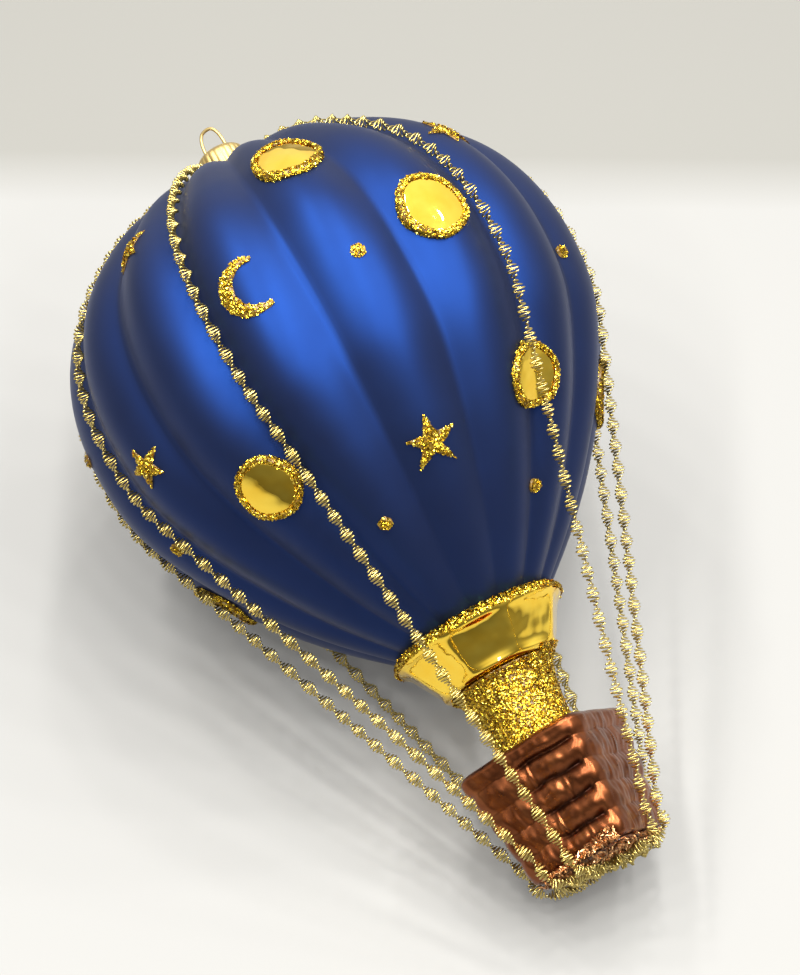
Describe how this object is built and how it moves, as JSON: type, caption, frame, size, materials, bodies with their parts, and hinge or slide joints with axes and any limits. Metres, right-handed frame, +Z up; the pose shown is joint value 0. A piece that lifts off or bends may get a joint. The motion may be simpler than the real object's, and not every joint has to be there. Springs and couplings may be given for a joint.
{
  "type": "glass tree ornament shaped as a hot air balloon",
  "caption": "Blown glass hanging ornament shaped as a hot air balloon, with a lobed envelope, gold windows, woven basket, crinkled wire rigging and a metal cap with a wire loop.",
  "frame": {"origin": "hook point: inside top of the wire loop that the ornament hangs from", "axes": "+Z up along the ornament's axis, from the basket to the loop; -Y is the basket's front; +X its right"},
  "size_m": [0.1041, 0.1061, 0.1695],
  "materials": {
    "blue_lacquer": "satin cobalt blue lacquer on blown glass, opaque",
    "gold_mirror": "silvered glass under clear gold lacquer, mirror bright, opaque",
    "gold_glitter": "dense gold glitter glued on glass",
    "copper_lacquer": "copper-brown metallic lacquer on blown glass, glossy, opaque",
    "copper_glitter": "coarse copper-brown glitter",
    "cap_metal": "bright gold-plated metal",
    "crinkle_wire": "pale gold crinkled and twisted wire"
  },
  "bodies": {
    "hanger": {"cap": "cap_metal", "wire_loop": "cap_metal"},
    "glass": {"envelope": "blue_lacquer", "neck_band": "gold_mirror", "throat": "gold_glitter", "basket": "copper_lacquer", "base_glitter": "copper_glitter", "wire_tie": "crinkle_wire", "wire_bundle": "crinkle_wire", "strand_front": "crinkle_wire", "strand_right_front": "crinkle_wire", "strand_right_back": "crinkle_wire", "strand_back_right": "crinkle_wire", "strand_back": "crinkle_wire", "strand_left_back": "crinkle_wire", "strand_left_front": "crinkle_wire", "strand_front_left": "crinkle_wire", "window_01": "gold_mirror", "window_02": "gold_mirror", "window_03": "gold_mirror", "window_04": "gold_mirror", "window_05": "gold_mirror", "window_06": "gold_mirror", "window_07": "gold_mirror", "window_08": "gold_mirror", "window_09": "gold_mirror", "window_10": "gold_mirror", "window_11": "gold_mirror", "star_1": "gold_glitter", "star_2": "gold_glitter", "star_3": "gold_glitter", "star_4": "gold_glitter", "star_5": "gold_glitter", "star_6": "gold_glitter", "star_7": "gold_glitter", "star_8": "gold_glitter", "crescent_1": "gold_glitter", "crescent_2": "gold_glitter", "crescent_3": "gold_glitter", "dot_01": "gold_glitter", "dot_02": "gold_glitter", "dot_03": "gold_glitter", "dot_04": "gold_glitter", "dot_05": "gold_glitter", "dot_06": "gold_glitter", "dot_07": "gold_glitter", "dot_08": "gold_glitter", "dot_09": "gold_glitter", "dot_10": "gold_glitter"}
  },
  "joints": [
    {"name": "glass_pull", "type": "slide", "parent": "hanger", "child": "glass", "axis": [0, 0, -1], "range_m": [0, 0.014]}
  ]
}
